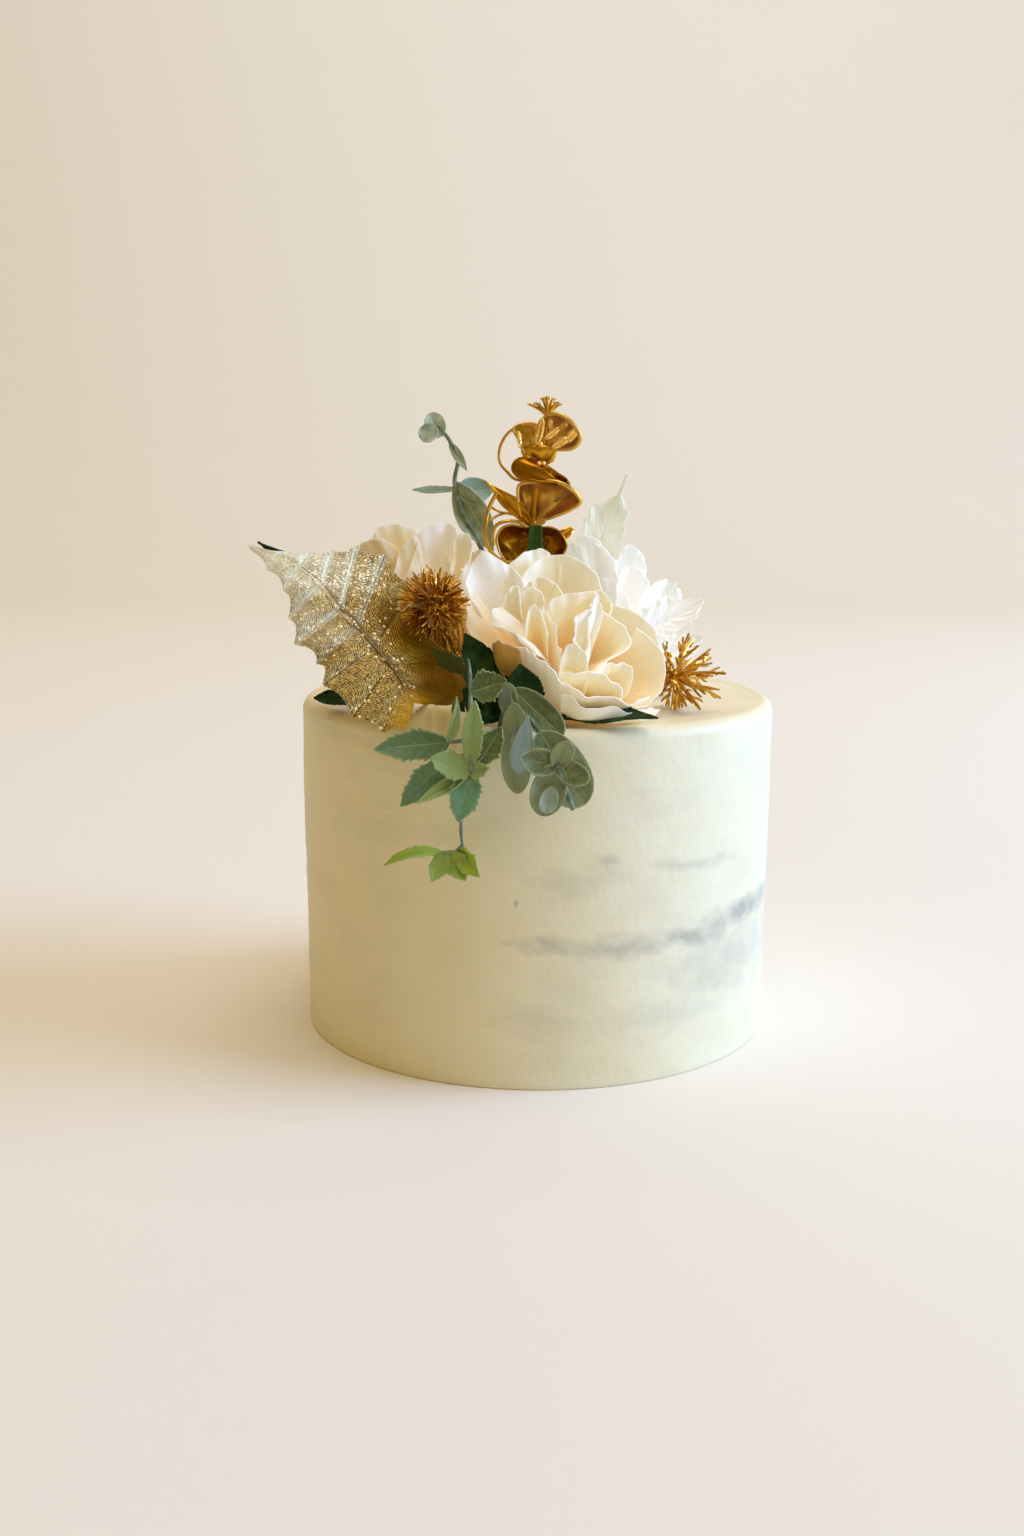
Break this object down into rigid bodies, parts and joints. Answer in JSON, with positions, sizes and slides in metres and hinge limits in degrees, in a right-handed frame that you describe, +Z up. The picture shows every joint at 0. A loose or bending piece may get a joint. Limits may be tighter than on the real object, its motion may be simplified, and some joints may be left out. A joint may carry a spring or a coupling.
{
  "type": "naked cake",
  "caption": "Small tall round cake in a thin smooth ivory frosting, topped with cream and white artificial roses, gold leaves, gilded sprigs and trailing greenery.",
  "frame": {"origin": "centre of the flat foot of the cake, on the surface that it stands on", "axes": "+Z up, the front of the cake, with the trailing sprigs, faces -Y, and +X is to the right seen from the front"},
  "size_m": [0.1696, 0.185, 0.2087],
  "materials": {
    "buttercream": "smooth ivory buttercream, soft satin, with faint grey-brown smears where the sponge shows through",
    "cream_petal": "thin cream silk petals, paler at the edges and apricot in the folds",
    "white_petal": "thin white silk petals",
    "gold_cloth": "glittering gold mesh cloth, silver towards the tip and amber at the foot",
    "silver_cloth": "pale silver green cloth with glitter and raised veins",
    "gilt": "metallic old gold paint over moulded plastic",
    "grey_green": "matt grey green with a blue bloom",
    "light_green": "matt leaf green, paler and yellower on the young leaves",
    "dark_green": "dark green satin leaves"
  },
  "bodies": {
    "root": {"cake": "buttercream", "rose_front": "cream_petal", "rose_back": "cream_petal", "flower_white": "white_petal", "leaf_gold": "gold_cloth", "leaf_silver_up": "silver_cloth", "leaf_silver_side": "silver_cloth", "spiky_ball": "gilt", "spiky_burst": "gilt", "spray_gold": "gilt", "sprig_back": "grey_green", "sprig_eucalyptus": "grey_green", "sprig_serrated": "light_green", "rose_leaf_middle": "dark_green", "rose_leaf_front": "dark_green", "rose_leaf_left": "dark_green", "leaf_green_back": "dark_green", "leaf_strip": "dark_green"}
  },
  "joints": []
}
